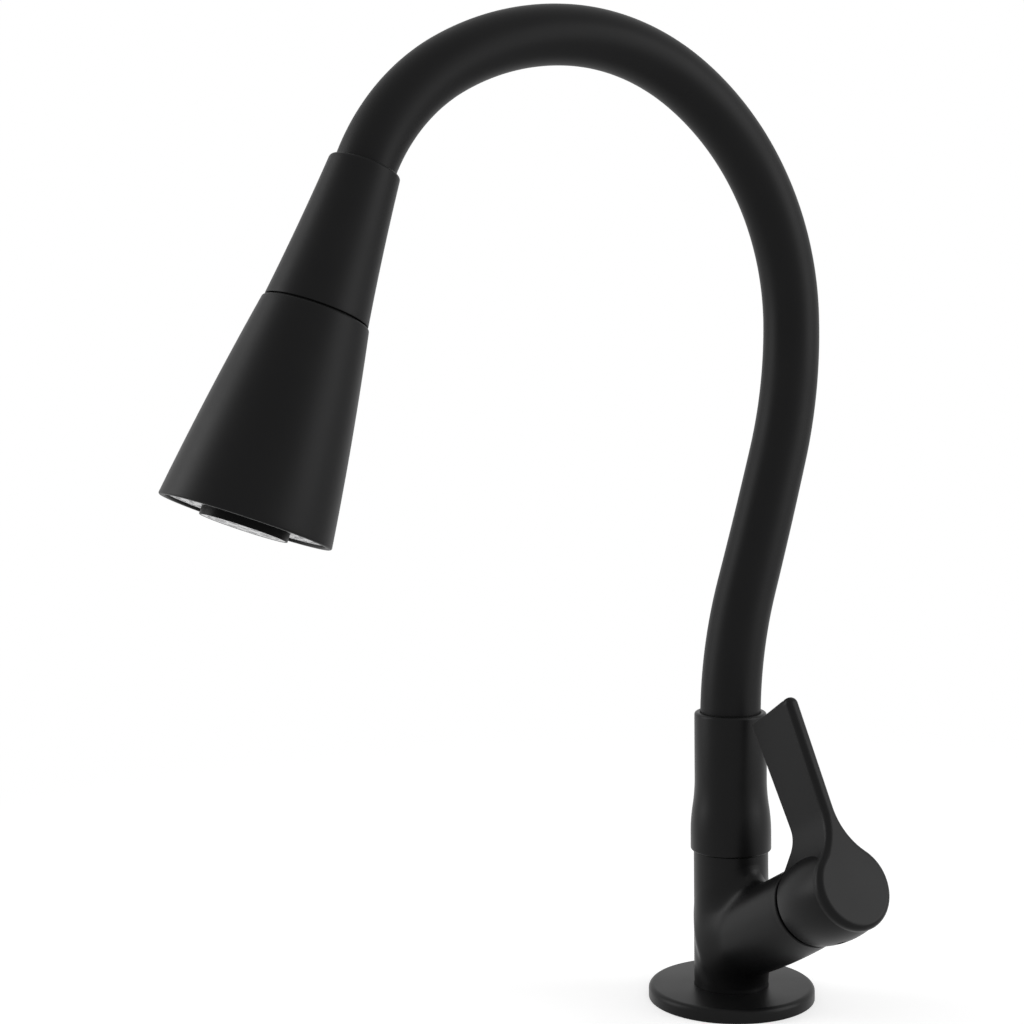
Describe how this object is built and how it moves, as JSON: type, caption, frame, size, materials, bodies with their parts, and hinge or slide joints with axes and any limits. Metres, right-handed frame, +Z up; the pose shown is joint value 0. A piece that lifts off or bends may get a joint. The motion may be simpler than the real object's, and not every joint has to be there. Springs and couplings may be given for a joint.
{
  "type": "flexible kitchen faucet",
  "caption": "Deck-mounted kitchen faucet with a swivelling, bendable gooseneck, a side lever and a conical two-mode spray head.",
  "frame": {"origin": "centre of the flange's underside, on the deck", "axes": "+Z up, the spout reaches along -Y and the lever's barrel along +X"},
  "size_m": [0.1051, 0.2484, 0.3956],
  "materials": {
    "black_metal": "fine matte powder coat on brass",
    "black_silicone": "soft matte silicone",
    "black_plastic": "fine matte",
    "brass": "turned",
    "steel": "plain stainless",
    "ceramic": "lapped",
    "seal_rubber": "moulded",
    "hose_rubber": "extruded",
    "white_plastic": "moulded",
    "grey_plastic": "moulded, satin"
  },
  "bodies": {
    "base": {"faucet_body": "black_metal", "spout_lock_screw": "steel", "base_flange": "black_metal", "flange_gasket": "seal_rubber", "threaded_shank": "brass", "deck_rubber_washer": "seal_rubber", "deck_steel_washer": "steel", "fixing_nut": "brass", "cartridge_body": "brass", "cartridge_seat_seal": "seal_rubber", "ceramic_disc_fixed": "ceramic"},
    "lever": {"handle": "black_metal", "handle_set_screw": "steel", "cartridge_stem": "brass", "ceramic_disc_turning": "ceramic", "stem_o_ring": "seal_rubber"},
    "swivel": {"swivel_sleeve": "black_metal", "swivel_spigot": "brass", "spigot_o_rings": "seal_rubber", "swivel_bearing_ring": "white_plastic", "neck_lower_ferrule": "brass", "neck_sleeve_1": "black_silicone", "neck_armour_1": "steel", "water_hose_1": "hose_rubber"},
    "neck_2": {"neck_sleeve_2": "black_silicone", "neck_armour_2": "steel", "water_hose_2": "hose_rubber"},
    "neck_3": {"neck_sleeve_3": "black_silicone", "neck_armour_3": "steel", "water_hose_3": "hose_rubber"},
    "neck_4": {"neck_sleeve_4": "black_silicone", "neck_armour_4": "steel", "water_hose_4": "hose_rubber"},
    "neck_5": {"neck_sleeve_5": "black_silicone", "neck_armour_5": "steel", "water_hose_5": "hose_rubber"},
    "neck_6": {"neck_sleeve_6": "black_silicone", "neck_armour_6": "steel", "water_hose_6": "hose_rubber"},
    "neck_7": {"neck_sleeve_7": "black_silicone", "neck_armour_7": "steel", "water_hose_7": "hose_rubber"},
    "head": {"neck_sleeve_8": "black_silicone", "neck_armour_8": "steel", "water_hose_8": "hose_rubber", "neck_upper_ferrule": "brass", "union_washer": "seal_rubber", "hose_union_nut": "brass", "head_core": "white_plastic", "head_upper_shell": "black_plastic", "shell_bearing_ring": "white_plastic"},
    "head_shell": {"head_lower_shell": "black_plastic", "spray_selector_disc": "white_plastic", "spray_plate": "grey_plastic", "hub_ring": "black_plastic", "aerator_insert": "grey_plastic", "aerator_screen": "steel", "aerator_seal": "seal_rubber"}
  },
  "joints": [
    {"name": "spout_swivel", "type": "hinge", "parent": "base", "child": "swivel", "pos_m": [0, 0, 0.0544], "axis": [0, 0, 1], "continuous": true},
    {"name": "lever_turn", "type": "hinge", "parent": "base", "child": "lever", "pos_m": [0, 0, 0.0205], "axis": [0.8829, 0, 0.4695], "range_deg": [0, 90]},
    {"name": "neck_bend_1", "type": "hinge", "parent": "swivel", "child": "neck_2", "pos_m": [0, 0.00746, 0.14991], "axis": [1, 0, 0], "range_deg": [-12, 6]},
    {"name": "neck_sway_2", "type": "hinge", "parent": "neck_2", "child": "neck_3", "pos_m": [0, 0.02153, 0.19651], "axis": [0, 0.9617, -0.274], "range_deg": [-10, 10]},
    {"name": "neck_bend_3", "type": "hinge", "parent": "neck_3", "child": "neck_4", "pos_m": [0, 0.02769, 0.24462], "axis": [1, 0, 0], "range_deg": [-12, 6]},
    {"name": "neck_sway_4", "type": "hinge", "parent": "neck_4", "child": "neck_5", "pos_m": [0, 0.01501, 0.29112], "axis": [0, 0.8729, 0.4879], "range_deg": [-10, 10]},
    {"name": "neck_bend_5", "type": "hinge", "parent": "neck_5", "child": "neck_6", "pos_m": [0, -0.01801, 0.32622], "axis": [1, 0, 0], "range_deg": [-12, 6]},
    {"name": "neck_sway_6", "type": "hinge", "parent": "neck_6", "child": "neck_7", "pos_m": [0, -0.06411, 0.33962], "axis": [0, -0.0052, 1], "range_deg": [-10, 10]},
    {"name": "neck_bend_7", "type": "hinge", "parent": "neck_7", "child": "head", "pos_m": [0, -0.11072, 0.32743], "axis": [1, 0, 0], "range_deg": [-12, 6]},
    {"name": "spray_select", "type": "hinge", "parent": "head", "child": "head_shell", "pos_m": [0, -0.14218, 0.29156], "axis": [0, -0.3665, -0.9304], "range_deg": [0, 90]}
  ],
  "couplings": [
    {"joint": "neck_bend_3", "follows": "neck_bend_1", "ratio": 1},
    {"joint": "neck_sway_4", "follows": "neck_sway_2", "ratio": 1},
    {"joint": "neck_bend_5", "follows": "neck_bend_1", "ratio": 1},
    {"joint": "neck_sway_6", "follows": "neck_sway_2", "ratio": 1},
    {"joint": "neck_bend_7", "follows": "neck_bend_1", "ratio": 1}
  ]
}
